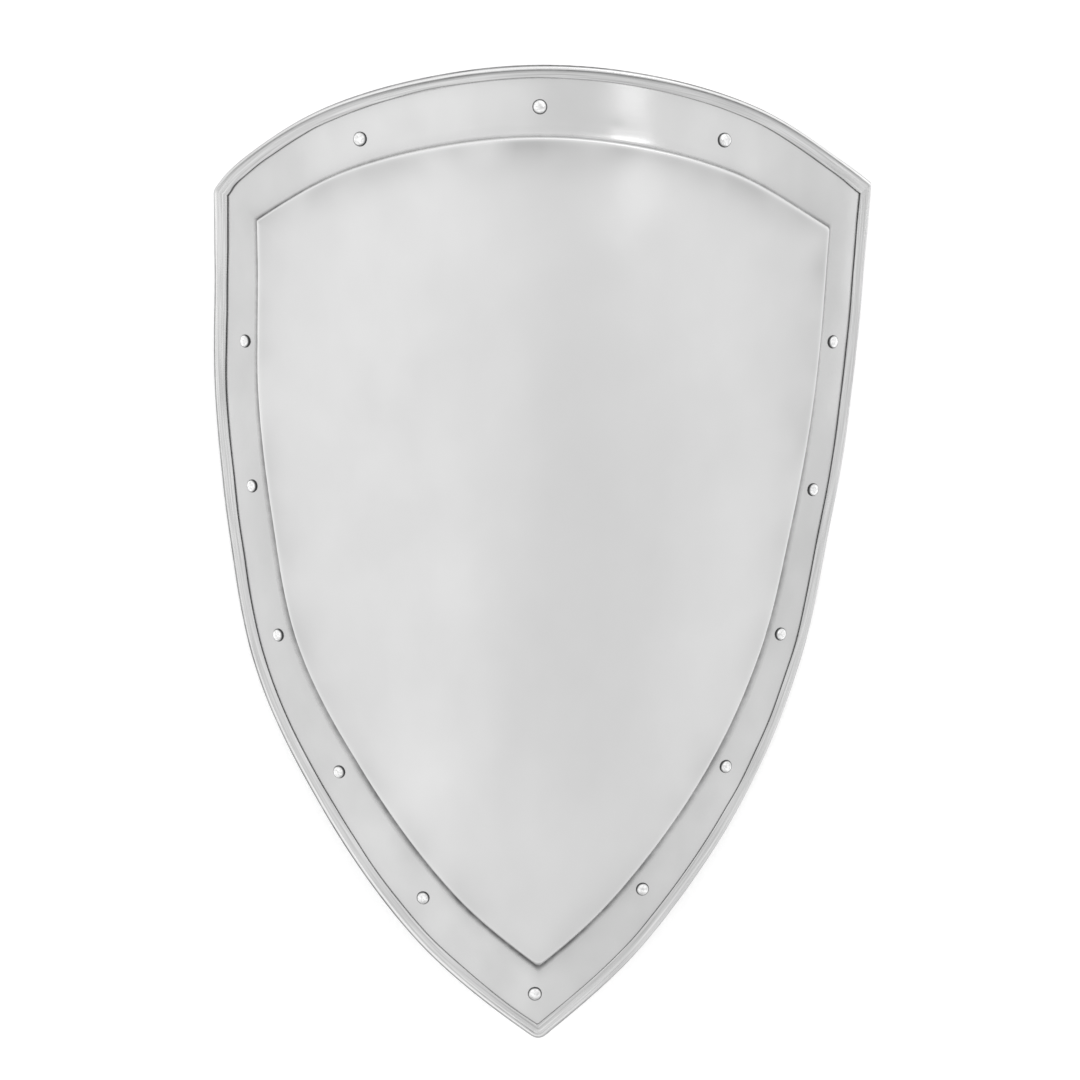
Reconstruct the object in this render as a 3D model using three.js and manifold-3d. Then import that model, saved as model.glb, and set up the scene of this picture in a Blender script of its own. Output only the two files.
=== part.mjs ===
// Heater shield beaten from one sheet of steel: a raised panel, a flat border set with rivets,
// and a hem rolled over to the front. It lies face up on its two long edges.
//
// The shield is drawn as a flat template first, u across and v along its length, and the template
// is then rolled round a long cylinder. A third number, n, is the height above the sheet's back.

import * as THREE from 'three';
import { mergeVertices } from 'three/addons/utils/BufferGeometryUtils.js';
import Module from 'manifold-3d';

// ---- Driving dimensions, in millimetres and degrees ----

const sheet = 1.2; // thickness of the steel, about 18 gauge
const rollRadius = 355; // radius that the sheet's back is rolled to

// The template's outer edge, u and v of each point. The hand-cut shape isn't quite even.
const leftCorner = [-264.5, 254.5];
const rightCorner = [270.5, 259.5];
const tip = [-1, -374];
const topPoints = [[-235, 275.5], [-160, 311], [-80, 332], [0, 340], [80, 333], [160, 312], [235, 276.5]];
const rightPoints = [[263.5, 200], [252.5, 100], [231.5, 0], [204, -100], [154, -200], [78.5, -300]];
const leftPoints = [[-92, -300], [-173, -200], [-232, -100], [-256, 0], [-268, 100], [-265, 200]];

// Widths inward from the outer edge, at the start, middle and end of the top, right and left edges.
const hemWidth = [[12.5, 9, 12.5], [10.5, 8.2, 10], [9.5, 10.5, 13.5]];
const borderWidth = [[43, 48.5, 47.5], [41.5, 37, 45], [45.5, 46.5, 43.5]];

// How far each corner is cut back to round it: right corner, tip, left corner.
const edgeRounding = [6, 12, 11];
const hemRounding = [0.8, 0.8, 0.8];
const panelRounding = [4, 5, 1.5];

const hemCurl = 2.4; // outer radius of the hem's rolled edge
const hemGap = 0.4; // slit between the hem's free edge and the border
const stepHeight = 3; // how far the panel stands above the border
const stepFront = [[0, 0], [1.2, 2.2], [2.8, 3]]; // the step's front: width, rise
const stepBackShift = 0.8; // how far the step's back lies inside its front

// Where the rivets stand on the template, counted from the top down on the two sides
const topRivets = { left: [-130.3, 289.7], middle: [0, 311.3], right: [134, 289] };
const leftRivets = [[-235.5, 143], [-231.5, 34.5], [-208, -77], [-154.5, -176], [-87.5, -266.5]];
const rightRivets = [[233.5, 142.5], [216, 33], [188, -74], [142, -170.5], [76.5, -259]];
const tipRivet = [-3.7, -337.3];

const fitGap = 0.3; // clearance between a rivet and the sheet
const shankRadius = 2;
const bigHeadRadius = 5.3; // the four rivets in the wide parts of the border
const smallHeadRadius = 5;
const headHeight = 2.4;
const headProfile = [[1, 0], [0.97, 0.45], [0.82, 0.8], [0.45, 0.97], [0, 1]]; // shares of radius and height
const tailRadius = 3.4;
const tailTopRadius = 2.6;
const tailHeight = 1.3;

// The lean at which the sheet's weight lies over the two edges that it rests on.
const restPitch = 6.7;
const restRoll = 1.7;

// Fineness of the mesh
const edgeSteps = 24; // along each of the three edges
const cornerSteps = 4; // round each corner
const panelRings = 7;
const curlSteps = 4;
const rivetSides = 12;
const sampleCount = 160; // points worked out along each edge of the template

const wasm = await Module();
wasm.setup();

const plateSteel = new THREE.MeshStandardMaterial({ color: 0xc9cacb, roughness: 0.38, metalness: 1 });
const rivetSteel = new THREE.MeshStandardMaterial({ color: 0xf1f2f2, roughness: 0.2, metalness: 1 });

// ---- The flat template ----

function edgeLine(from, between, to) {
  const points = [from, ...between, to].map(([u, v]) => new THREE.Vector2(u, v));
  return new THREE.SplineCurve(points).getPoints(sampleCount);
}

// The top, right and left edges, clockwise as the front is seen
const outerLines = [
  edgeLine(leftCorner, topPoints, rightCorner),
  edgeLine(rightCorner, rightPoints, tip),
  edgeLine(tip, leftPoints, leftCorner),
];

// A smooth value that passes through start, middle and end as share runs from 0 to 1
function ease([start, middle, end], share) {
  const rest = 1 - share;
  return start * rest * (rest - share) + 4 * middle * share * rest + end * share * (share - rest);
}

// A line inside another. The lines run clockwise, so inward is to the right.
function insetLine(line, widths) {
  return line.map((point, i) => {
    const before = line[Math.max(i - 1, 0)];
    const after = line[Math.min(i + 1, line.length - 1)];
    const along = after.clone().sub(before).normalize();
    const width = ease(widths, i / (line.length - 1));
    return new THREE.Vector2(point.x + along.y * width, point.y - along.x * width);
  });
}

// A place on a line is counted in samples from its start.
function pointOn(line, place) {
  const i = Math.min(Math.floor(place), line.length - 2);
  return line[i].clone().lerp(line[i + 1], place - i);
}

// Where the end of one line crosses the start of the next, as a place on each
function crossing(first, second) {
  const within = (share) => share >= 0 && share <= 1;
  for (let i = first.length - 2; i >= 0; i--) {
    const step = first[i + 1].clone().sub(first[i]);
    for (let j = 0; j < second.length / 2; j++) {
      const offset = second[j].clone().sub(first[i]);
      const nextStep = second[j + 1].clone().sub(second[j]);
      const area = step.cross(nextStep);
      const onFirst = offset.cross(nextStep) / area;
      const onSecond = offset.cross(step) / area;
      if (within(onFirst) && within(onSecond)) return [i + onFirst, j + onSecond];
    }
  }
  return [first.length - 1, 0];
}

// A closed ring of stations round the template: along each edge, then round the corner after it
function ring(lines, rounding) {
  const meets = lines.map((line, k) => crossing(line, lines[(k + 1) % 3]));
  const cut = (line, distance) => (distance * sampleCount) / line[0].distanceTo(line[sampleCount]);
  return lines.flatMap((line, k) => {
    const next = lines[(k + 1) % 3];
    const before = (k + 2) % 3;
    const start = meets[before][1] + cut(line, rounding[before]);
    const end = meets[k][0] - cut(line, rounding[k]);
    const nextStart = meets[k][1] + cut(next, rounding[k]);
    const corner = pointOn(line, meets[k][0]);
    const turn = new THREE.QuadraticBezierCurve(pointOn(line, end), corner, pointOn(next, nextStart));
    const alongEdge = Array.from({ length: edgeSteps }, (_, i) => {
      return pointOn(line, THREE.MathUtils.lerp(start, end, i / edgeSteps));
    });
    return [...alongEdge, ...turn.getPoints(cornerSteps).slice(0, -1)];
  });
}

const insetLines = (widths) => outerLines.map((line, k) => insetLine(line, widths[k]));
const widen = (widths, extra) => widths.map((three) => three.map((width) => width + extra));

const edgeRing = ring(outerLines, edgeRounding);
const hemRing = ring(insetLines(hemWidth), hemRounding);
const panelRing = (inside) => ring(insetLines(widen(borderWidth, inside)), panelRounding);

// A ring within the hem, at a true distance inside the outer edge
function withinHem(inside) {
  return edgeRing.map((point, i) => point.clone().lerp(hemRing[i], inside / point.distanceTo(hemRing[i])));
}

// ---- Rolling the template ----

function roll(point, n) {
  const angle = point.x / rollRadius;
  const radius = rollRadius + n;
  return new THREE.Vector3(radius * Math.sin(angle), point.y, radius * Math.cos(angle) - rollRadius);
}

// ---- The plate ----

// Rows of the plate's skin, from the middle of its front, out round the hem, to the middle of its back.
// Each row is a ring of stations at one height.
function plateRows(middle) {
  const rows = [];
  const add = (stations, n) => rows.push(stations.map((point) => roll(point, n)));
  const addPanel = (inside, share, n) => {
    add(panelRing(inside).map((point) => middle.clone().lerp(point, share)), n);
  };
  const midBorder = panelRing(0).map((point, i) => point.clone().lerp(hemRing[i], 0.5));
  const panelTop = stepFront[stepFront.length - 1][0];

  // Front of the panel, the step and the border
  for (let k = 1; k < panelRings; k++) addPanel(panelTop, k / panelRings, sheet + stepHeight);
  for (const [width, rise] of [...stepFront].reverse()) add(panelRing(width), sheet + rise);
  add(midBorder, sheet);
  add(hemRing, sheet);
  // Inside of the hem: half a turn upwards, then down to the free edge
  for (let k = 0; k <= curlSteps; k++) {
    const angle = (Math.PI * k) / curlSteps;
    const radius = hemCurl - sheet;
    add(withinHem(hemCurl - radius * Math.sin(angle)), hemCurl - radius * Math.cos(angle));
  }
  add(hemRing, sheet + hemGap);
  // Outside of the hem: from the free edge, over the top and half a turn back down
  add(hemRing, 2 * sheet + hemGap);
  for (let k = 0; k <= curlSteps; k++) {
    const angle = (Math.PI * k) / curlSteps;
    add(withinHem(hemCurl - hemCurl * Math.sin(angle)), hemCurl + hemCurl * Math.cos(angle));
  }
  // Back of the border, the step and the panel
  add(midBorder, 0);
  for (const [width, rise] of stepFront) add(panelRing(width + stepBackShift), rise);
  for (let k = panelRings - 1; k > 0; k--) addPanel(panelTop + stepBackShift, k / panelRings, stepHeight);
  return rows;
}

// The skin's triangles. Each four-sided patch is split along its shorter diagonal.
function plateGeometry() {
  const middle = new THREE.Vector2();
  edgeRing.forEach((point) => middle.addScaledVector(point, 1 / edgeRing.length));
  const rows = plateRows(middle);
  const count = edgeRing.length;
  const points = [roll(middle, sheet + stepHeight), ...rows.flat(), roll(middle, stepHeight)];
  const at = (row, station) => 1 + row * count + (station % count);
  const triangles = [];
  for (let i = 0; i < count; i++) {
    triangles.push(0, at(0, i + 1), at(0, i));
    for (let row = 0; row < rows.length - 1; row++) {
      const [a, b, c, d] = [at(row, i), at(row, i + 1), at(row + 1, i), at(row + 1, i + 1)];
      const splitAlongAD = points[a].distanceTo(points[d]) < points[b].distanceTo(points[c]);
      triangles.push(...(splitAlongAD ? [a, b, d, a, d, c] : [a, b, c, b, d, c]));
    }
    triangles.push(points.length - 1, at(rows.length - 1, i), at(rows.length - 1, i + 1));
  }
  const geometry = new THREE.BufferGeometry().setFromPoints(points);
  geometry.setIndex(triangles);
  return geometry;
}

// ---- Cutting the rivet holes ----

function toSolid(geometry) {
  const bare = geometry.clone();
  bare.deleteAttribute('normal');
  bare.deleteAttribute('uv');
  const merged = mergeVertices(bare);
  return new wasm.Manifold(new wasm.Mesh({
    numProp: 3,
    vertProperties: new Float32Array(merged.attributes.position.array),
    triVerts: new Uint32Array(merged.index.array),
  }));
}

function toGeometry(solid) {
  const mesh = solid.getMesh();
  const geometry = new THREE.BufferGeometry();
  geometry.setAttribute('position', new THREE.BufferAttribute(new Float32Array(mesh.vertProperties), 3));
  geometry.setIndex(new THREE.BufferAttribute(new Uint32Array(mesh.triVerts), 1));
  geometry.computeVertexNormals();
  return geometry;
}

// ---- The rivets ----

const rivets = [];
const addRivet = (name, at, head) => rivets.push({ name, at: new THREE.Vector2(...at), head });
for (const [side, at] of Object.entries(topRivets)) addRivet(`rivet_top_${side}`, at, bigHeadRadius);
leftRivets.forEach((at, i) => addRivet(`rivet_left_${i + 1}`, at, smallHeadRadius));
rightRivets.forEach((at, i) => addRivet(`rivet_right_${i + 1}`, at, smallHeadRadius));
addRivet('rivet_tip', tipRivet, bigHeadRadius);

// A head with a steep rim and a low crown, a shank, and a tail hammered flat behind the sheet
function rivetGeometry(headRadius) {
  const seat = sheet + fitGap;
  const profile = [
    [0, -fitGap - tailHeight],
    [tailTopRadius, -fitGap - tailHeight],
    [tailRadius, -fitGap],
    [shankRadius, -fitGap],
    [shankRadius, seat],
    ...headProfile.map(([radiusShare, rise]) => [headRadius * radiusShare, seat + headHeight * rise]),
  ];
  const points = profile.map(([radius, height]) => new THREE.Vector2(radius, height));
  return new THREE.LatheGeometry(points, rivetSides).rotateX(Math.PI / 2);
}

const rivetMeshes = rivets.map(({ name, at, head }) => {
  const mesh = new THREE.Mesh(rivetGeometry(head), rivetSteel);
  mesh.name = name;
  mesh.position.copy(roll(at, 0));
  mesh.rotation.y = at.x / rollRadius;
  return mesh;
});

// The plate with a hole drilled for each rivet
function drilledPlate() {
  const holeRadius = shankRadius + fitGap;
  const drillLength = 8 * sheet;
  return rivetMeshes.reduce((solid, mesh) => {
    const drill = new THREE.CylinderGeometry(holeRadius, holeRadius, drillLength, rivetSides);
    mesh.updateMatrix();
    drill.rotateX(Math.PI / 2).applyMatrix4(mesh.matrix);
    return solid.subtract(toSolid(drill));
  }, toSolid(plateGeometry()));
}

const plate = new THREE.Mesh(toGeometry(drilledPlate()), plateSteel);
plate.name = 'shield_plate';

// ---- Lying at rest ----

const lean = new THREE.Group();
lean.rotation.set(THREE.MathUtils.degToRad(restPitch), THREE.MathUtils.degToRad(restRoll), 0);
lean.add(plate, ...rivetMeshes);

// The origin is under the middle of the shield, on the surface that it lies on
const shield = new THREE.Group();
shield.add(lean);
const box = new THREE.Box3().setFromObject(shield, true);
lean.position.set(-(box.min.x + box.max.x) / 2, -(box.min.y + box.max.y) / 2, -box.min.z);

export default shield;
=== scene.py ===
"""Looks of the heater shield: the steel plate with its hand-planished surface, the polished rivets,
the floor, the light and the camera. Metres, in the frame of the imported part."""

import math

import bpy
import numpy as np
from mathutils import Matrix, Vector


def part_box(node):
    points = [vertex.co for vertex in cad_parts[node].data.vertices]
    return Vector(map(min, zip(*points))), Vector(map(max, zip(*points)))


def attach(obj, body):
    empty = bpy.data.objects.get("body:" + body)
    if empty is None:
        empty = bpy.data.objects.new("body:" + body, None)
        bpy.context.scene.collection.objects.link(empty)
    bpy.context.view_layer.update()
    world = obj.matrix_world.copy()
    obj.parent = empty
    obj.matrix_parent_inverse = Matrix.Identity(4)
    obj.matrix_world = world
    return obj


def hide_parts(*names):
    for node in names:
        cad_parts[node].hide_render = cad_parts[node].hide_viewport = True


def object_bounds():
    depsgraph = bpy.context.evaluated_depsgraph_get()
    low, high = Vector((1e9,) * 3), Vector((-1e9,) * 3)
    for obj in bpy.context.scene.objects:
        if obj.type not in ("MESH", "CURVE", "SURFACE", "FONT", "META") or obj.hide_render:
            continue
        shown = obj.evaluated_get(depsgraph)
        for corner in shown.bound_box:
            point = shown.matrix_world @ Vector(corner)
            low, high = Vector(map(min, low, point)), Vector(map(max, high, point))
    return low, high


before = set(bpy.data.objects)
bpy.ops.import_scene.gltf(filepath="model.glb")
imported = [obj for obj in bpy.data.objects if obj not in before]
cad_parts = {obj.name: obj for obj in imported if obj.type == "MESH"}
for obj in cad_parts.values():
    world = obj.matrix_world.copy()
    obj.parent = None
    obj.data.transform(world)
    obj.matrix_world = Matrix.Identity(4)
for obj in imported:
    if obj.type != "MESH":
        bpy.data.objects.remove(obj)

packed_low, packed_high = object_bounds()

MM = 0.001

# ---- The plate's driving dimensions, in millimetres and degrees, as in the part's source ----

SHEET = 1.2  # thickness of the steel
ROLL_RADIUS = 355  # radius that the sheet's back is rolled to

LEFT_CORNER = (-264.5, 254.5)
RIGHT_CORNER = (270.5, 259.5)
TIP = (-1, -374)
TOP_POINTS = [(-235, 275.5), (-160, 311), (-80, 332), (0, 340), (80, 333), (160, 312), (235, 276.5)]
RIGHT_POINTS = [(263.5, 200), (252.5, 100), (231.5, 0), (204, -100), (154, -200), (78.5, -300)]
LEFT_POINTS = [(-92, -300), (-173, -200), (-232, -100), (-256, 0), (-268, 100), (-265, 200)]

# Widths inward from the outer edge, at the start, middle and end of the top, right and left edges
HEM_WIDTH = [(12.5, 9, 12.5), (10.5, 8.2, 10), (9.5, 10.5, 13.5)]
BORDER_WIDTH = [(43, 48.5, 47.5), (41.5, 37, 45), (45.5, 46.5, 43.5)]

# How far each corner is cut back to round it: right corner, tip, left corner
EDGE_ROUNDING = (6, 12, 11)
HEM_ROUNDING = (0.8, 0.8, 0.8)
PANEL_ROUNDING = (4, 5, 1.5)

HEM_CURL = 2.4  # outer radius of the hem's rolled edge
HEM_GAP = 0.4  # slit between the hem's free edge and the border
STEP_HEIGHT = 3  # how far the panel stands above the border
STEP_WIDTH = 2.8
STEP_BACK_SHIFT = 0.8  # how far the step's back lies inside its front

REST_PITCH = 6.7  # the lean at which the shield lies on its two long edges
REST_ROLL = 1.7

# ---- The finer shape that only the looks have, in millimetres ----

STEP_SHAPE = 2.4  # how quickly the step rises from its foot: a sharp foot and a rounded top
FOOT_RISE = 0.35  # the border sweeps up this much into the step's foot
FOOT_REACH = 2.6
HEM_ROLL_SLOPE = 0.62  # radians, the slope at which the hem's roll runs out into its flat part
FREE_EDGE_ROUNDING = 0.55  # radius filed on the hem's free edge
WAVE_HEIGHT = 0.16  # root mean square height of the planishing waves
HEM_WANDER = 0.35  # how far the hem's free edge strays from its line
DENTS = [((38, 286), 15, 0.22), ((53, 298), 3.5, 0.08)]  # place on the template, radius and depth

HEAD_RADIUS_BIG = 5.3
HEAD_RADIUS_SMALL = 5.0
HEAD_HEIGHT = 2.4
HEAD_FULLNESS = 2.3  # 2 is a part of an ellipse, and more is fuller
TAIL_RADIUS = 3.4
TAIL_HEIGHT = 1.3

# ---- Painted shade and painted highlights on the surface: shares from 0 to 1, at the start, middle
# and end of the top, right and left edges ----

CREASE_SHADE = [(0.9, 0.7, 0.7), (0.6, 0.3, 0.4), (0.5, 0.35, 0.7)]  # painted shade under the hem's free edge
FOOT_SHADE = [(1.0, 0.3, 0.9), (0.8, 0.6, 0.9), (1.0, 0.8, 0.8)]  # painted shade at the foot of the step
FOOT_SOFT_SHADE = [(0.6, 0.1, 0.5), (0.4, 0.5, 1.0), (1.0, 0.4, 0.5)]  # painted soft shade on the border along the step
PANEL_SOFT_SHADE = [(0.5, 1.0, 0.8), (0.8, 0.5, 0.3), (0.3, 0.4, 0.5)]  # painted soft shade on the panel along the step
BORDER_HIGHLIGHT = [(0.0, 0.2, 0.0), (0.0, 0.0, 0.0), (0.0, 0.0, 0.0)]  # painted highlight on the flat border
STEP_HIGHLIGHT = [(0.0, 0.6, 0.5), (0.3, 0.3, 0.1), (0.1, 0.4, 0.6)]  # painted highlight on the rounded top of the step
ROLL_HIGHLIGHT = [(0.0, 0.9, 1.0), (0.4, 0.3, 0.4), (1.0, 0.8, 0.8)]  # painted highlight on the crown of the hem's roll
ROLL_SHADE = [(0.1, 0.9, 0.6), (0.3, 0.2, 0.3), (0.8, 0.4, 0.3)]  # painted shade where the roll meets the flat hem
RIM_SHADE = [(0.5, 0.9, 1.0), (0.3, 0.1, 0.7), (0.9, 0.8, 0.6)]  # painted shade on the outer side of the roll

# ---- How far the painted shade and painted highlights reach ----

FOOT_SPREAD = [(2.2, 1.5, 2.2), (3, 4.2, 3), (3, 4.2, 3.2)]  # mm outward from the step that the painted shade at its foot reaches, edge by edge
RIM_START = [(0.2, 0.45, 0.4), (0.2, 0.1, 0.4), (0.5, -0.3, 0.0)]  # radians from the roll's crown, where the painted shade on the rim starts
RIM_SHADE_END = 2.4  # radians from the roll's crown, where the rim's painted shade has faded behind
PANEL_SOFT_SHADE_REACH = 15  # mm
FOOT_SOFT_SHADE_REACH = 6
HEM_SOFT_SHADE_REACH = 3.5
HEM_SHADE_REACH = 0.5
FOOT_SHADE_RISE = 1.1  # mm up the step's slope that the painted shade at the foot reaches
HEAD_SHADE_TOP = 0.74  # share of a rivet head's height at which its painted shade ends
HEAD_SHADE_FADE = 0.26

# ---- Fineness of the mesh ----

SAMPLES = 640
EDGE_STEPS = 150
CORNER_STEPS = 12
PANEL_RINGS = 38
BORDER_RINGS = 14
CURL_STEPS = 8
ROLL_STEPS = 24
RIVET_SIDES = 40
HEAD_STEPS = 10
BACK_BORDER_RINGS = 8

# Rows of the plate's mesh, in millimetres
PANEL_MARGIN = 9  # the band of the panel along the step, where the rows are closer
PANEL_EDGE_ROWS = (6, 4, 2.4, 1.5, 0.8, 0.3, 0)  # inside the step's top
STEP_ROWS = (2.4, 2.0, 1.6, 1.2, 0.9, 0.6, 0.4, 0.2, 0.08, 0)  # inside the step's foot
FOOT_ROWS = (0.3, 0.6, 1, 1.5, 2.2, 3.2, 4.5, 6.5, 9)  # outside the step's foot
HEM_SIDE_ROWS = (4, 2.4, 1.4, 0.8, 0.4, 0.1)  # on the border, inside the hem's free edge
STEP_BACK_ROWS = (0, 0.1, 0.3, 0.6, 1.0, 1.5, 2.1, 2.8)  # inside the foot of the step's back

# Rows across the hem's flat, as shares of the way from its free edge to its roll
HEM_FLAT_SHARES = (0.12, 0.26, 0.4, 0.54, 0.66, 0.76, 0.85, 0.92, 0.97)

# A rivet's tail, as shares of its radius and depth
TAIL_PROFILE = ((0.4, 1), (0.68, 0.92), (0.86, 0.77), (0.97, 0.54), (1.02, 0.23))


# ---- The flat template ----

def edge_line(start, between, end):
    """A smooth line through the points, as many samples from each point to the next."""
    points = np.array([start, *between, end], float)
    place = np.linspace(0, len(points) - 1, SAMPLES + 1)
    first = np.minimum(place.astype(int), len(points) - 2)
    t = (place - first)[:, None]
    here, there = points[first], points[first + 1]
    slope_here = (there - points[np.maximum(first - 1, 0)]) / 2
    slope_there = (points[np.minimum(first + 2, len(points) - 1)] - here) / 2
    return (here + t * slope_here
            + t**2 * (3 * (there - here) - 2 * slope_here - slope_there)
            + t**3 * (2 * (here - there) + slope_here + slope_there))


# The top, right and left edges, clockwise as the front is seen
OUTER_LINES = [
    edge_line(LEFT_CORNER, TOP_POINTS, RIGHT_CORNER),
    edge_line(RIGHT_CORNER, RIGHT_POINTS, TIP),
    edge_line(TIP, LEFT_POINTS, LEFT_CORNER),
]


def ease(widths, share):
    """A smooth value through start, middle and end as share runs from 0 to 1."""
    start, middle, end = widths
    rest = 1 - share
    return start * rest * (rest - share) + 4 * middle * share * rest + end * share * (share - rest)


def inset_line(line, widths):
    """A line inside another. The lines run clockwise, so inward is to the right."""
    along = np.gradient(line, axis=0)
    along /= np.linalg.norm(along, axis=1)[:, None]
    width = ease(widths, np.linspace(0, 1, len(line)))[:, None]
    return line + width * np.column_stack([along[:, 1], -along[:, 0]])


def points_on(line, places):
    """Points at the given places, counted in samples from the line's start."""
    index = np.arange(len(line))
    return np.column_stack([np.interp(places, index, line[:, k]) for k in (0, 1)])


def cross(a, b):
    return a[..., 0] * b[..., 1] - a[..., 1] * b[..., 0]


def crossing(first, second):
    """Where the end of one line crosses the start of the next, as a place on each."""
    half = SAMPLES // 2
    starts, nexts = first[half:-1], second[:half]
    steps, next_steps = np.diff(first[half:], axis=0), np.diff(second[:half + 1], axis=0)
    offset = nexts[None] - starts[:, None]
    area = cross(steps[:, None], next_steps[None])
    area[np.abs(area) < 1e-12] = 1e-12
    on_first = cross(offset, next_steps[None]) / area
    on_second = cross(offset, steps[:, None]) / area
    met = (on_first >= 0) & (on_first <= 1) & (on_second >= 0) & (on_second <= 1)
    if not met.any():
        return SAMPLES, 0
    i, j = np.argwhere(met)[-1]
    return half + i + on_first[i, j], j + on_second[i, j]


def in_samples(line, distance):
    """A distance in millimetres along a line, counted in the line's samples."""
    return distance * SAMPLES / np.linalg.norm(line[-1] - line[0])


def ring(lines, rounding):
    """A closed ring of stations round the template: along each edge, then round the corner after it."""
    meets = [crossing(line, lines[(k + 1) % 3]) for k, line in enumerate(lines)]
    stations = []
    for k, line in enumerate(lines):
        following = lines[(k + 1) % 3]
        before = (k + 2) % 3
        start = meets[before][1] + in_samples(line, rounding[before])
        end = meets[k][0] - in_samples(line, rounding[k])
        next_start = meets[k][1] + in_samples(following, rounding[k])
        stations.append(points_on(line, start + (end - start) * np.arange(EDGE_STEPS) / EDGE_STEPS))
        turn_start, corner = points_on(line, [end, meets[k][0]])
        turn_end = points_on(following, [next_start])[0]
        t = (np.arange(CORNER_STEPS) / CORNER_STEPS)[:, None]
        stations.append((1 - t)**2 * turn_start + 2 * t * (1 - t) * corner + t**2 * turn_end)
    return np.concatenate(stations)


def inset_ring(widths, extra, rounding):
    lines = [inset_line(line, np.add(three, extra)) for line, three in zip(OUTER_LINES, widths)]
    return ring(lines, rounding)


def round_the_ring(values):
    """A value for each station, from those at the start, middle and end of the three edges."""
    parts = []
    for k, edge in enumerate(values):
        parts.append(ease(edge, np.arange(EDGE_STEPS) / EDGE_STEPS))
        parts.append(np.linspace(edge[2], values[(k + 1) % 3][0], CORNER_STEPS, endpoint=False))
    return np.concatenate(parts)


def wander(count, seed, size):
    """A smooth uneven value round the ring, for work done by eye."""
    rng = np.random.default_rng(seed)
    turn = np.linspace(0, 2 * math.pi, count, endpoint=False)
    total = np.zeros(count)
    for waves in range(5, 46):
        total += rng.normal() * np.sin(waves * turn + rng.uniform(0, 2 * math.pi)) / waves**0.6
    return size * total / total.std()


edge_ring = inset_ring([(0, 0, 0)] * 3, 0, EDGE_ROUNDING)
hem_ring = inset_ring(HEM_WIDTH, 0, HEM_ROUNDING)
COUNT = len(edge_ring)

inward = (hem_ring - edge_ring) / np.linalg.norm(hem_ring - edge_ring, axis=1)[:, None]
free_ring = hem_ring + inward * np.minimum(wander(COUNT, 3, HEM_WANDER), 0.2)[:, None]


def panel_ring(inside):
    """A ring at this distance inside the step's foot, whose corners are pressed sharper at the foot."""
    sharpness = 0.5 + 0.5 * min(inside / STEP_WIDTH, 1)
    return inset_ring(BORDER_WIDTH, inside, np.multiply(PANEL_ROUNDING, sharpness))


def within_hem(inside):
    """A ring within the hem, at a true distance inside the outer edge."""
    return edge_ring + inward * inside


def lay_of_the_edge():
    """Two coordinates, in millimetres, that run round the plate with its edge and close on themselves."""
    steps = np.linalg.norm(np.roll(edge_ring, -1, axis=0) - edge_ring, axis=1)
    turn = 2 * math.pi * np.concatenate([[0], np.cumsum(steps)[:-1]]) / steps.sum()
    return np.column_stack([np.cos(turn), np.sin(turn)]) * steps.sum() / (2 * math.pi)


# ---- The sheet's unevenness ----

def planishing(points):
    """Height of the low waves that the hammer and the polishing leave, at points of the template."""
    rng = np.random.default_rng(11)
    height = np.zeros(len(points))
    for _ in range(70):
        length = rng.uniform(34, 150)
        heading = rng.uniform(0, 2 * math.pi)
        along = points @ [math.cos(heading), math.sin(heading)]
        height += (length / 90)**1.4 * np.sin(2 * math.pi * along / length + rng.uniform(0, 2 * math.pi))
    height *= WAVE_HEIGHT / 6
    for place, radius, depth in DENTS:
        height -= depth * np.exp(-(np.linalg.norm(points - place, axis=1) / radius)**2)
    return height


def roll(points, height):
    """Points of the template, rolled round the long cylinder, in millimetres."""
    angle = points[:, 0] / ROLL_RADIUS
    radius = ROLL_RADIUS + height
    return np.column_stack([radius * np.sin(angle), points[:, 1], radius * np.cos(angle) - ROLL_RADIUS])


# ---- The plate ----

MARKS = ("residue", "painted_highlight", "soft_shade", "border", "hem")  # painted shade, painted highlight, painted soft shade, and border and hem, on each point of its skin


def step_rise(inside):
    return STEP_HEIGHT * (1 - (1 - min(inside / STEP_WIDTH, 1))**STEP_SHAPE)


def front_panel(add, middle):
    """The raised panel, with rows close together near the step, and painted soft shade and a painted
    highlight along the step.
    """
    height = SHEET + STEP_HEIGHT
    soft_shade = round_the_ring(PANEL_SOFT_SHADE)
    painted_highlight = round_the_ring(STEP_HIGHLIGHT)
    margin_ring = panel_ring(STEP_WIDTH + PANEL_MARGIN)
    for k in range(1, PANEL_RINGS + 1):
        stations = middle + (margin_ring - middle) * k / PANEL_RINGS
        inside = PANEL_MARGIN + np.linalg.norm(margin_ring - stations, axis=1)
        add(stations, height, soft_shade=soft_shade * np.exp(-inside / PANEL_SOFT_SHADE_REACH))
    for inside in PANEL_EDGE_ROWS:
        add(panel_ring(STEP_WIDTH + inside), height, soft_shade=soft_shade * math.exp(-inside / PANEL_SOFT_SHADE_REACH),
            painted_highlight=painted_highlight * math.exp(-inside / 1.2))


def front_step(add):
    """The step down from the panel, with a painted highlight on its rounded top and painted shade at its
    foot.
    """
    painted_highlight = round_the_ring(STEP_HIGHLIGHT)
    residue = round_the_ring(FOOT_SHADE)
    for inside in STEP_ROWS:
        share = inside / STEP_WIDTH
        add(panel_ring(inside), SHEET + step_rise(inside) + FOOT_RISE * (1 - share),
            residue=residue * math.exp(-(inside / FOOT_SHADE_RISE)**2),
            painted_highlight=painted_highlight * max(0, share - 0.35) / 0.65)


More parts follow.
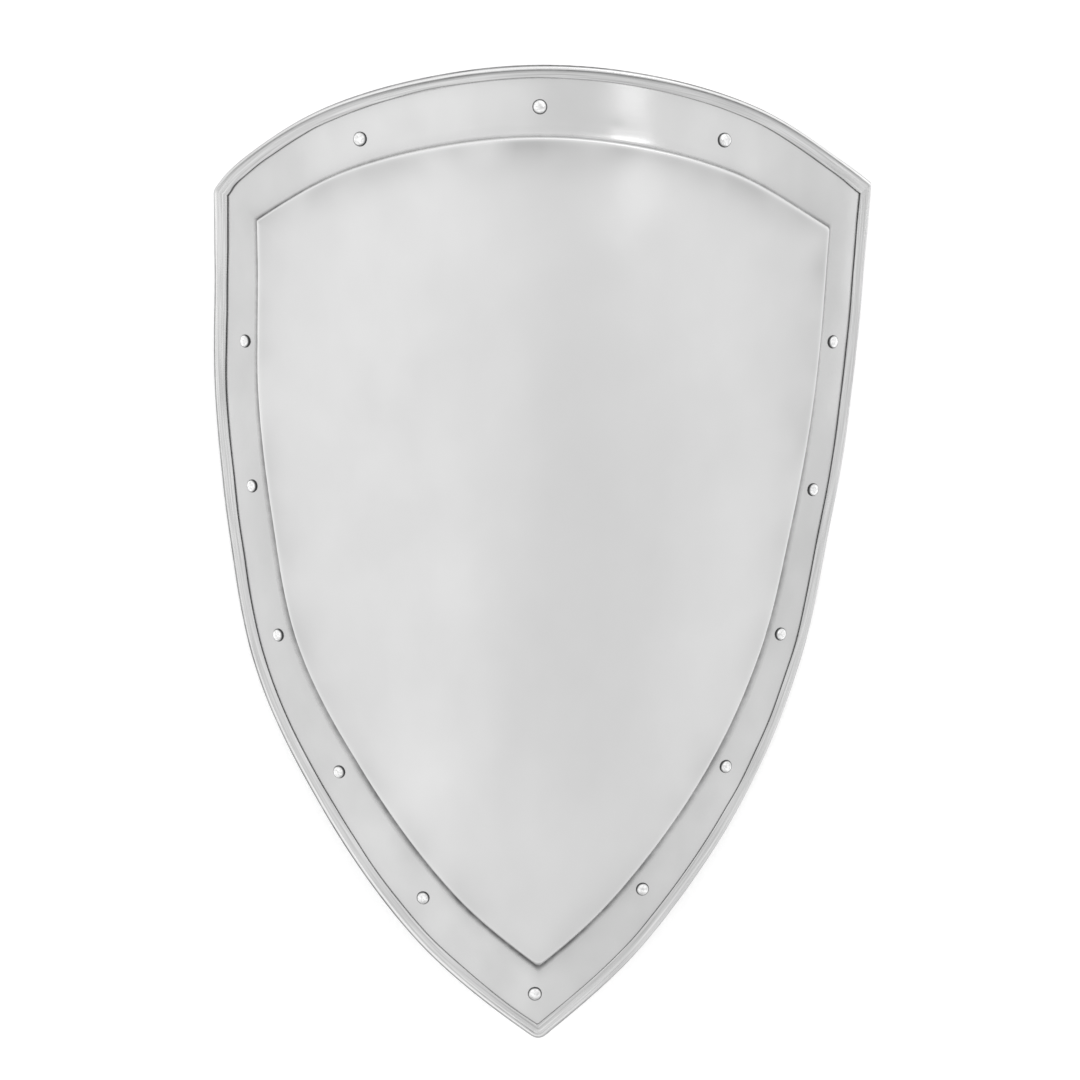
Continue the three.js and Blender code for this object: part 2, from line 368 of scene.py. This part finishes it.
def front_border(add):
    """The flat border, swept up into the step's foot, with painted shade and painted soft shade against the
    step and the hem, and a painted highlight.
    """
    foot = round_the_ring(FOOT_SHADE)
    spread = round_the_ring(FOOT_SPREAD)
    soft_shade = round_the_ring(FOOT_SOFT_SHADE)
    crease = round_the_ring(CREASE_SHADE)
    hem_soft_shade = 0.5 * crease
    painted_highlight = round_the_ring(BORDER_HIGHLIGHT)
    start = panel_ring(0)
    width = np.linalg.norm(hem_ring - start, axis=1)
    outward = (hem_ring - start) / width[:, None]
    near_foot, near_hem = FOOT_ROWS[-1], HEM_SIDE_ROWS[0]
    for out in FOOT_ROWS:
        add(start + outward * out, SHEET + FOOT_RISE * math.exp(-out / FOOT_REACH),
            residue=foot * np.exp(-(out / spread)**2), painted_highlight=painted_highlight * out / near_foot,
            soft_shade=soft_shade * math.exp(-out / FOOT_SOFT_SHADE_REACH), border=1)
    for k in range(1, BORDER_RINGS):
        out = near_foot + (width - near_foot - near_hem) * k / BORDER_RINGS
        left = width - out
        add(start + outward * out[:, None], SHEET, painted_highlight=painted_highlight, border=1,
            soft_shade=soft_shade * np.exp(-out / FOOT_SOFT_SHADE_REACH) + hem_soft_shade * np.exp(-left / HEM_SOFT_SHADE_REACH))
    for left in HEM_SIDE_ROWS:
        add(hem_ring - outward * left, SHEET, painted_highlight=painted_highlight, border=1,
            residue=0.6 * crease * math.exp(-left / HEM_SHADE_REACH),
            soft_shade=hem_soft_shade * math.exp(-left / HEM_SOFT_SHADE_REACH))


def hem_inside(add):
    """The border on under the hem, half a turn upwards, and back to the hem's free edge, with painted shade
    under the hem and on its free edge.
    """
    crease = round_the_ring(CREASE_SHADE)
    add(within_hem(7), SHEET, residue=0.6)
    radius = HEM_CURL - SHEET
    for k in range(CURL_STEPS + 1):
        angle = math.pi * k / CURL_STEPS
        add(within_hem(HEM_CURL - radius * math.sin(angle)), HEM_CURL - radius * math.cos(angle), residue=1)
    low, high = SHEET + HEM_GAP, 2 * SHEET + HEM_GAP
    corner = free_ring - inward * FREE_EDGE_ROUNDING
    add(corner, low, residue=0.5)
    for k in range(1, 5):
        angle = math.pi / 2 * k / 4
        add(corner + inward * FREE_EDGE_ROUNDING * math.sin(angle),
            low + FREE_EDGE_ROUNDING * (1 - math.cos(angle)), residue=crease * (0.2 - 0.04 * k), hem=1)
    for k in range(5):
        angle = math.pi / 2 * k / 4
        add(corner + inward * FREE_EDGE_ROUNDING * math.cos(angle),
            high - FREE_EDGE_ROUNDING * (1 - math.sin(angle)), residue=0.03 * crease, hem=1)


def hem_outside(add):
    """The flat of the hem, up into its roll, over the crown and half a turn down to the back, with painted
    shade beside and behind the roll and a painted highlight on its crown.
    """
    flat = 2 * SHEET + HEM_GAP
    roll_start = HEM_CURL * (1 + math.sin(HEM_ROLL_SLOPE))
    roll_rise = HEM_CURL * (1 + math.cos(HEM_ROLL_SLOPE)) - flat
    fade = roll_rise / math.tan(HEM_ROLL_SLOPE)
    roll_residue = round_the_ring(ROLL_SHADE)

    def beside_roll(inside):
        return roll_residue * np.exp(-((inside - roll_start + 0.2) / 0.5)**2)

    reach = np.linalg.norm(free_ring - edge_ring, axis=1) - FREE_EDGE_ROUNDING
    for share in HEM_FLAT_SHARES:
        inside = roll_start + (reach - roll_start) * (1 - share)
        add(within_hem(inside[:, None]), flat + roll_rise * np.exp(-(inside - roll_start) / fade),
            residue=beside_roll(inside), hem=1)

    rim_start = round_the_ring(RIM_START)
    rim = round_the_ring(RIM_SHADE)
    painted_highlight = round_the_ring(ROLL_HIGHLIGHT)
    for k in range(ROLL_STEPS + 1):
        angle = -HEM_ROLL_SLOPE + (math.pi + HEM_ROLL_SLOPE) * k / ROLL_STEPS
        inside = HEM_CURL - HEM_CURL * math.sin(angle)
        rim_fade = min(1, max(0.3, (RIM_SHADE_END - angle) / 0.6))
        add(within_hem(inside), HEM_CURL + HEM_CURL * math.cos(angle), hem=1,
            residue=rim * rim_fade * np.clip((angle - rim_start) / 0.2, 0, 1) + beside_roll(inside),
            painted_highlight=painted_highlight * np.exp(-((angle - rim_start + 0.42) / 0.36)**2))


def back(add, middle):
    """The back of the border, the step and the panel, with painted shade on the back of the step."""
    hem_back = within_hem(HEM_CURL)
    step_start = panel_ring(STEP_BACK_SHIFT)
    for k in range(1, BACK_BORDER_RINGS):
        add(hem_back + (step_start - hem_back) * k / BACK_BORDER_RINGS, 0)
    for inside in STEP_BACK_ROWS:
        add(panel_ring(inside + STEP_BACK_SHIFT), step_rise(inside), residue=0.5)
    panel_edge = panel_ring(STEP_WIDTH + STEP_BACK_SHIFT + 2)
    for k in range(PANEL_RINGS, 0, -1):
        add(middle + (panel_edge - middle) * k / PANEL_RINGS, STEP_HEIGHT)


def plate_skin(middle):
    """Points, marks and lay of the plate's skin, in rings from the middle of its front, out round the
    hem, to the middle of its back."""
    points, marks, lays = [], [], []
    round_edge = lay_of_the_edge()

    def add(stations, height, residue=0.0, painted_highlight=0.0, soft_shade=0.0, border=0.0, hem=0.0):
        points.append(roll(stations, height + planishing(stations)))
        marks.append([np.broadcast_to(mark, COUNT) for mark in (residue, painted_highlight, soft_shade, border, hem)])
        lays.append(np.column_stack([round_edge, np.linalg.norm(stations - edge_ring, axis=1)]))

    front_panel(add, middle)
    front_step(add)
    front_border(add)
    hem_inside(add)
    hem_outside(add)
    back(add, middle)
    return np.array(points), np.array(marks), np.array(lays)


LEAN = (Matrix.Rotation(math.radians(REST_PITCH), 3, "X")
        @ Matrix.Rotation(math.radians(REST_ROLL), 3, "Y"))


def leaned(points, size=1.0, shift=0.0):
    """Points of the rolled sheet, in millimetres, leaned to rest, in metres."""
    return points * MM @ np.array(LEAN).T * size + shift


def fit_to_solid(points):
    """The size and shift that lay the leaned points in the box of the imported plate. The smooth curves
    stand a hair outside the solid's flat facets, so they shrink by that hair."""
    low, high = (np.array(corner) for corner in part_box("shield_plate"))
    free = leaned(points)
    size = np.minimum(1, (high - low) / (free.max(0) - free.min(0)))
    shift = (low + high) / 2 - size * (free.max(0) + free.min(0)) / 2
    shift[2] = low[2] - size[2] * free[:, 2].min()
    return size, shift


def skin_faces(rings, sides):
    """Faces of a closed skin: a point, rings of this many points each, and a last point."""
    station = np.arange(sides)
    following = (station + 1) % sides
    ring_start = 1 + sides * np.arange(rings - 1)[:, None]
    last = 1 + sides * rings
    first_fan = np.column_stack([np.zeros(sides, int), 1 + following, 1 + station])
    between = np.stack([ring_start + station, ring_start + following,
                        ring_start + sides + following, ring_start + sides + station], axis=-1)
    last_fan = np.column_stack([np.full(sides, last), last - sides + station, last - sides + following])
    return first_fan.tolist() + between.reshape(-1, 4).tolist() + last_fan.tolist()


def mesh_object(name, points, faces, **point_values):
    """A smooth-shaded mesh object with the given numbers or vectors stored on its points."""
    mesh = bpy.data.meshes.new(name)
    mesh.from_pydata(np.asarray(points).tolist(), [], faces)
    mesh.validate()
    mesh.shade_smooth()
    for key, values in point_values.items():
        values = np.asarray(values, np.float32)
        kind, slot = ("FLOAT", "value") if values.ndim == 1 else ("FLOAT_VECTOR", "vector")
        mesh.attributes.new(key, kind, "POINT").data.foreach_set(slot, values.ravel())
    made = bpy.data.objects.new(name, mesh)
    bpy.context.scene.collection.objects.link(made)
    return made


def plate():
    """The plate, and the size and shift that fit it to its solid."""
    middle = edge_ring.mean(0, keepdims=True)
    rings, ring_marks, ring_lays = plate_skin(middle)
    front = roll(middle, SHEET + STEP_HEIGHT + planishing(middle))
    behind = roll(middle, STEP_HEIGHT + planishing(middle))
    points = np.concatenate([front, rings.reshape(-1, 3), behind])
    lay = np.concatenate([np.zeros((1, 3)), ring_lays.reshape(-1, 3), np.zeros((1, 3))])
    marks = {name: np.concatenate([[0], ring_marks[:, k].ravel(), [0]]) for k, name in enumerate(MARKS)}
    size, shift = fit_to_solid(points)
    made = mesh_object("planished_plate", leaned(points, size, shift), skin_faces(len(rings), COUNT),
                       lay=lay, **marks)
    return made, size, shift


# ---- The rivets ----

def head_rings(radius, lobes, off_centre, around):
    """Rings up the domed head, and how much painted shade is on each."""
    rings, residue = [around * radius * 0.97 + [0, 0, -0.02]], [1]
    for k in range(HEAD_STEPS):
        angle = math.pi / 2 * k / HEAD_STEPS
        reach = radius * math.cos(angle)**(2 / HEAD_FULLNESS)
        rise = math.sin(angle)**(2 / HEAD_FULLNESS)
        at = around * (reach * (1 + lobes * 0.5) - 0.01 * radius)[:, None]
        rings.append(at + [radius * off_centre[0] * rise, radius * off_centre[1] * rise, HEAD_HEIGHT * rise])
        residue.append(min(1, max(0, (HEAD_SHADE_TOP - rise) / HEAD_SHADE_FADE)))
    return rings, residue


def tail_rings(lobes, around):
    """Rings up the tail, which is hammered flat behind the sheet."""
    rings = []
    for share, depth in (*TAIL_PROFILE, (1, -0.02)):
        at = around * (TAIL_RADIUS * share * 0.97 * (1 + 2.5 * lobes))[:, None]
        rings.append(at - [0, 0, TAIL_HEIGHT * depth])
    return rings


def strike_flats(points, rng):
    """Presses in the few small flats that the hammer leaves on a head, given its points above the rim."""
    for _ in range(4):
        tilt, heading = rng.uniform(0.1, 0.34), rng.uniform(0, 2 * math.pi)
        normal = np.array([math.sin(tilt) * math.cos(heading), math.sin(tilt) * math.sin(heading),
                           math.cos(tilt)])
        proud = points @ normal
        points = points - 0.8 * np.maximum(proud - proud.max() + 0.07, 0)[:, None] * normal
    return points


def place_of(solid_name, size, shift):
    """Where a rivet's solid stands: its turn round the roll and its height on the template."""
    solid = np.array([vertex.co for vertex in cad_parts[solid_name].data.vertices])
    x, y, z = (solid.mean(0) - shift) / size @ np.array(LEAN) / MM
    return math.atan2(x, z + ROLL_RADIUS), y


def rivet(solid_name, size, shift, seed):
    """A rivet with a polished head, which the hammer has left a little uneven."""
    rng = np.random.default_rng(seed)
    turn, y = place_of(solid_name, size, shift)
    uneven = planishing(np.array([[turn * ROLL_RADIUS, y]]))[0]
    big = "top" in solid_name or "tip" in solid_name
    radius = HEAD_RADIUS_BIG if big else HEAD_RADIUS_SMALL

    angle = np.linspace(0, 2 * math.pi, RIVET_SIDES, endpoint=False)
    around = np.column_stack([np.cos(angle), np.sin(angle), np.zeros(RIVET_SIDES)])
    lobes = sum(rng.normal(0, 0.008) * np.cos(k * angle + rng.uniform(0, 6)) for k in (2, 3, 5))
    off_centre = rng.normal(0, 0.025, 2)
    head, head_residue = head_rings(radius, lobes, off_centre, around)
    tail = tail_rings(lobes, around)

    crown = [[radius * off_centre[0], radius * off_centre[1], HEAD_HEIGHT]]
    head_points = np.concatenate([*head, crown])
    above_rim = head_points[:, 2] > HEAD_HEIGHT / 2
    head_points[above_rim] = strike_flats(head_points[above_rim], rng)
    points = np.concatenate([[[0, 0, -TAIL_HEIGHT]], *tail, head_points + [0, 0, SHEET]])
    residue = np.concatenate([np.full(1 + len(tail) * RIVET_SIDES, 0.4),
                              np.repeat(head_residue, RIVET_SIDES), [0]])

    # Stand it on the rolled sheet
    turned = points @ np.array(Matrix.Rotation(turn, 3, "Y")).T
    out = ROLL_RADIUS + uneven
    turned += [out * math.sin(turn), y, out * math.cos(turn) - ROLL_RADIUS]
    return mesh_object("hammered_" + solid_name, leaned(turned, size, shift),
                       skin_faces(len(head) + len(tail), RIVET_SIDES), residue=residue)


# ---- Materials ----

def linear(hex_colour):
    """An sRGB hex colour as the linear values that shaders use."""
    channels = [int(hex_colour[i:i + 2], 16) / 255 for i in (1, 3, 5)]
    return [c / 12.92 if c <= 0.04045 else ((c + 0.055) / 1.055)**2.4 for c in channels] + [1]


def per(size_mm):
    """The scale that gives a pattern features of this size, in coordinates that are metres."""
    return 1 / (size_mm * MM)


def node(tree, kind, output, inputs, **settings):
    """Adds a shader node with its settings, sets or links its inputs, and gives back one output."""
    made = tree.nodes.new("ShaderNode" + kind)
    for name, value in settings.items():
        setattr(made, name, value)
    for socket, value in inputs.items():
        if isinstance(value, bpy.types.NodeSocket):
            tree.links.new(value, made.inputs[socket])
        else:
            made.inputs[socket].default_value = value
    return made.outputs[output]


def new_material(name):
    made = bpy.data.materials.new(name)
    made.use_nodes = True
    tree = made.node_tree
    return made, tree, tree.nodes["Principled BSDF"]


def finish(tree, shader, colour, roughness, residue, relief, strength, depth_mm):
    """Links a metal's colour, roughness and bump to its shader. Where painted shade covers it, it is less of
    a metal.
    """
    metal_share = node(tree, "Math", 0, {0: residue, 1: -0.85, 2: 1.0}, operation="MULTIPLY_ADD")
    normal = node(tree, "Bump", "Normal", {"Height": relief, "Strength": strength,
                                           "Distance": depth_mm * MM})
    tree.links.new(colour, shader.inputs["Base Color"])
    tree.links.new(roughness, shader.inputs["Roughness"])
    tree.links.new(normal, shader.inputs["Normal"])
    tree.links.new(metal_share, shader.inputs["Metallic"])


def drawn_lines(tree, where, sizes, low, high):
    """Lines of a polishing belt, 1 in a line and 0 between them, whose sizes are along each axis. The
    real ones are about a tenth of a millimetre wide, too fine to show, so they are drawn coarser."""
    scaled = node(tree, "VectorMath", 0, {0: where, 1: sizes}, operation="DIVIDE")
    grain = node(tree, "TexNoise", "Fac", {"Vector": scaled, "Scale": 1, "Detail": 2, "Roughness": 0.6})
    return node(tree, "MapRange", "Result", {"Value": grain, "From Min": low, "From Max": high})


def sheen(tree, where):
    """Clouds of a little more and a little less polish: large ones drawn out down the plate, and a
    finer mottle in them."""
    drawn = node(tree, "VectorMath", 0, {0: where, 1: (1, 0.7, 1)}, operation="MULTIPLY")
    clouds = node(tree, "TexNoise", "Fac", {"Vector": drawn, "Scale": per(120), "Detail": 1.5,
                                            "Roughness": 0.45, "Distortion": 0.2})
    mottle = node(tree, "TexNoise", "Fac", {"Vector": drawn, "Scale": per(32), "Detail": 2, "Roughness": 0.5})
    return node(tree, "Mix", 0, {0: 0.28, 2: clouds, 3: mottle}), mottle


def plate_steel():
    """Mild steel sheet, planished and polished to a satin: a cloudy sheen from uneven polishing, fine
    lines both ways, painted shade in the creases, painted soft shade beside the step and painted highlights
    on the ridges."""
    made, tree, shader = new_material("satin_planished_steel")
    where = node(tree, "TexCoord", "Object", {})
    lay = node(tree, "Attribute", "Vector", {}, attribute_name="lay")
    mark = {name: node(tree, "Attribute", "Fac", {}, attribute_name=name) for name in MARKS}

    # The panel, the border and the hem, which was ground along its length
    cloudy, mottle = sheen(tree, where)
    polish = node(tree, "MapRange", "Result", {"Value": cloudy, "From Min": 0.36, "From Max": 0.64})
    streaks = drawn_lines(tree, lay, (55, 55, 1.1), 0.3, 0.7)
    panel = node(tree, "Mix", 2, {0: polish, 6: linear("#DADADA"), 7: linear("#E1E1E1")}, data_type="RGBA")
    border = node(tree, "Mix", 2, {0: mottle, 6: linear("#C9C9C9"), 7: linear("#DCDCDC")}, data_type="RGBA")
    hem = node(tree, "Mix", 2, {0: streaks, 6: linear("#BDBDBD"), 7: linear("#DFDFDF")}, data_type="RGBA")
    colour = node(tree, "Mix", 2, {0: mark["border"], 6: panel, 7: border}, data_type="RGBA")
    colour = node(tree, "Mix", 2, {0: mark["hem"], 6: colour, 7: hem}, data_type="RGBA")

    # Painted soft shade beside the step and along the hem's free edge, broken up by soft clouds
    cloud = node(tree, "TexNoise", "Fac", {"Vector": where, "Scale": per(45), "Detail": 1, "Roughness": 0.5})
    cover = node(tree, "MapRange", "Result", {"Value": cloud, "From Min": 0.3, "From Max": 0.65,
                                              "To Min": 0.25, "To Max": 0.75})
    soft_shade = node(tree, "Math", 0, {0: mark["soft_shade"], 1: cover}, operation="MULTIPLY")
    colour = node(tree, "Mix", 2, {0: soft_shade, 6: colour, 7: linear("#9E9E9E")}, data_type="RGBA")

    # Painted shade in the creases and on the roll's rim, broken up along them
    fine = node(tree, "TexNoise", "Fac", {"Vector": where, "Scale": per(7), "Detail": 4, "Roughness": 0.65})
    coarse = node(tree, "TexNoise", "Fac", {"Vector": where, "Scale": per(60), "Detail": 2})
    fine = node(tree, "MapRange", "Result", {"Value": fine, "From Min": 0.3, "From Max": 0.62,
                                             "To Min": 0.65, "To Max": 1})
    coarse = node(tree, "MapRange", "Result", {"Value": coarse, "From Min": 0.35, "From Max": 0.6,
                                               "To Min": 0.75, "To Max": 1})
    broken = node(tree, "Math", 0, {0: fine, 1: coarse}, operation="MULTIPLY")
    broken_shade = node(tree, "Math", 0, {0: mark["residue"], 1: broken}, operation="MULTIPLY")
    residue = node(tree, "MapRange", "Result", {"Value": broken_shade, "From Min": 0.05, "From Max": 0.9})
    colour = node(tree, "Mix", 2, {0: residue, 6: colour, 7: linear("#505051")}, data_type="RGBA")
    # Painted highlight on the rounded ridges, in near white
    colour = node(tree, "Mix", 2, {0: mark["painted_highlight"], 6: colour, 7: linear("#F8F8F8")}, data_type="RGBA")

    # Roughness: the border is buffed more than the panel, and the painted shade is dull
    lines_down = drawn_lines(tree, where, (0.6 * MM, 70 * MM, 0.6 * MM), 0.58, 0.78)
    lines_across = drawn_lines(tree, where, (45 * MM, 0.7 * MM, 45 * MM), 0.58, 0.78)
    lines = node(tree, "Math", 0, {0: lines_down, 1: lines_across}, operation="MAXIMUM")
    rough = node(tree, "MapRange", "Result", {"Value": cloudy, "From Min": 0.35, "From Max": 0.65,
                                              "To Min": 0.38, "To Max": 0.3})
    for share, amount in ((mark["border"], -0.15), (mark["hem"], -0.06), (lines, 0.05), (residue, 0.16),
                          (soft_shade, 0.06), (mark["painted_highlight"], -0.12)):
        rough = node(tree, "Math", 0, {0: share, 1: amount, 2: rough}, operation="MULTIPLY_ADD")

    pits = node(tree, "TexNoise", "Fac", {"Vector": where, "Scale": per(1.6), "Detail": 3, "Roughness": 0.6})
    relief = node(tree, "Math", 0, {0: pits, 1: lines}, operation="SUBTRACT")
    finish(tree, shader, colour, rough, residue, relief, 0.25, 0.015)
    return made


def rivet_steel():
    """Steel rivets whose heads are polished bright, with small pits and with painted shade round the rim."""
    made, tree, shader = new_material("bright_rivet_steel")
    where = node(tree, "TexCoord", "Object", {})
    mark = node(tree, "Attribute", "Fac", {}, attribute_name="residue")
    mottle = node(tree, "TexNoise", "Fac", {"Vector": where, "Scale": per(1.8), "Detail": 2})
    polish = node(tree, "MapRange", "Result", {"Value": mottle, "From Min": 0.36, "From Max": 0.6})
    colour = node(tree, "Mix", 2, {0: polish, 6: linear("#E0E0E0"), 7: linear("#FDFDFD")}, data_type="RGBA")
    # Painted shade round the rim of the head, in near black
    colour = node(tree, "Mix", 2, {0: mark, 6: colour, 7: linear("#343536")}, data_type="RGBA")
    rough = node(tree, "MapRange", "Result", {"Value": mottle, "From Min": 0.35, "From Max": 0.65,
                                              "To Min": 0.26, "To Max": 0.16})
    rough = node(tree, "Math", 0, {0: mark, 1: 0.25, 2: rough}, operation="MULTIPLY_ADD")
    finish(tree, shader, colour, rough, mark, mottle, 0.3, 0.05)
    return made


def paper():
    """White paper over a light table, so that hardly any shadow shows on it."""
    made, tree, shader = new_material("lit_white_paper")
    where = node(tree, "TexCoord", "Object", {})
    fibres = node(tree, "TexNoise", "Fac", {"Vector": where, "Scale": per(3), "Detail": 3, "Roughness": 0.6})
    colour = node(tree, "Mix", 2, {0: fibres, 6: linear("#F2F2F2"), 7: linear("#FCFCFC")}, data_type="RGBA")
    tree.links.new(colour, shader.inputs["Base Color"])
    tree.links.new(colour, shader.inputs["Emission Color"])
    shader.inputs["Emission Strength"].default_value = 0.3
    shader.inputs["Roughness"].default_value = 0.9
    shader.inputs["Specular IOR Level"].default_value = 0.0
    return made


# ---- The object ----

plate_material = plate_steel()
rivet_material = rivet_steel()

shield, plate_size, plate_shift = plate()
shield.data.materials.append(plate_material)
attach(shield, "root")
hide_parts("shield_plate")

rivet_nodes = sorted(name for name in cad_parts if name.startswith("rivet"))
for number, name in enumerate(rivet_nodes):
    piece = rivet(name, plate_size, plate_shift, 100 + number)
    piece.data.materials.append(rivet_material)
    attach(piece, "root")
    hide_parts(name)


# ---- Floor, light and camera ----

def floor():
    half, bottom = 30.0, packed_low[2]
    corners = [(-half, -half, bottom), (half, -half, bottom), (half, half, bottom), (-half, half, bottom)]
    made = mesh_object("paper_floor", corners, [(0, 1, 2, 3)])
    made.data.materials.append(paper())


def softbox(name, place, target, width, height, power):
    light = bpy.data.lights.new(name, "AREA")
    light.shape = "RECTANGLE"
    light.size, light.size_y, light.energy = width, height, power
    made = bpy.data.objects.new(name, light)
    made.location = place
    made.rotation_euler = (Vector(target) - Vector(place)).to_track_quat("-Z", "Y").to_euler()
    bpy.context.scene.collection.objects.link(made)


def sky(tree):
    """How bright the white room is in each direction: a little less behind the camera, less at the far
    right, and dimmer low in front."""
    direction = node(tree, "TexCoord", "Generated", {})
    across = node(tree, "SeparateXYZ", "X", {0: direction})
    along = node(tree, "SeparateXYZ", "Y", {0: direction})
    dip = (0.2, -0.54, 0)
    stretch = (1, 2.4, 0)
    flattened = node(tree, "VectorMath", 0, {0: direction, 1: stretch}, operation="MULTIPLY")
    from_dip = node(tree, "VectorMath", "Value", {0: flattened, 1: dip}, operation="DISTANCE")
    level = node(tree, "MapRange", "Result", {"Value": from_dip, "From Min": 0.1, "From Max": 0.75,
                                              "To Min": 0.75, "To Max": 1}, interpolation_type="SMOOTHSTEP")
    right = node(tree, "MapRange", "Result", {"Value": across, "From Min": 0.8, "From Max": 1,
                                              "To Min": 1, "To Max": 0.9}, interpolation_type="SMOOTHSTEP")
    front = node(tree, "MapRange", "Result", {"Value": along, "From Min": -0.9, "From Max": -0.55,
                                              "To Min": 0.55, "To Max": 1}, interpolation_type="SMOOTHSTEP")
    level = node(tree, "Math", 0, {0: level, 1: right}, operation="MULTIPLY")
    return node(tree, "Math", 0, {0: level, 1: front}, operation="MULTIPLY")


def studio():
    world = bpy.data.worlds.new("studio")
    bpy.context.scene.world = world
    world.use_nodes = True
    background = world.node_tree.nodes["Background"]
    background.inputs["Color"].default_value = (1, 1, 1, 1)
    world.node_tree.links.new(sky(world.node_tree), background.inputs["Strength"])
    middle = (packed_low + packed_high) / 2
    softbox("ceiling_softbox", (-1.6, -0.3, 2.1), (-1.6, -0.3, 0), 3.3, 3.0, 2.2)
    softbox("strip_light", (1.0, 0.32, 2.2), (0.1, 0.3, 0), 0.15, 0.4, 0.42)
    softbox("back_softbox", (1.0, 1.5, 1.9), middle, 1.5, 1.3, 3)


CAMERA_DISTANCE = 1600  # from the point that it looks at, in millimetres
CAMERA_TARGET = (0, 0, -30)  # on the rolled sheet's frame, before the lean
CAMERA_TILT = 9  # degrees towards the top edge, from straight out of the plate
VIEW_WIDTH = 793.8  # millimetres, at the point that it looks at


def camera():
    tilt = Matrix.Rotation(math.radians(-CAMERA_TILT), 3, "X")
    away = tilt @ Vector((0, 0, CAMERA_DISTANCE))
    data = bpy.data.cameras.new("camera")
    data.sensor_width = 36
    data.lens = data.sensor_width * CAMERA_DISTANCE / VIEW_WIDTH
    data.clip_end = 50
    made = bpy.data.objects.new("camera", data)
    place = LEAN @ ((Vector(CAMERA_TARGET) + away) * MM) + Vector(plate_shift)
    made.matrix_world = Matrix.Translation(place) @ (LEAN @ tilt).to_4x4()
    bpy.context.scene.collection.objects.link(made)
    bpy.context.scene.camera = made


floor()
studio()
camera()
bpy.context.scene.view_settings.view_transform = "Standard"
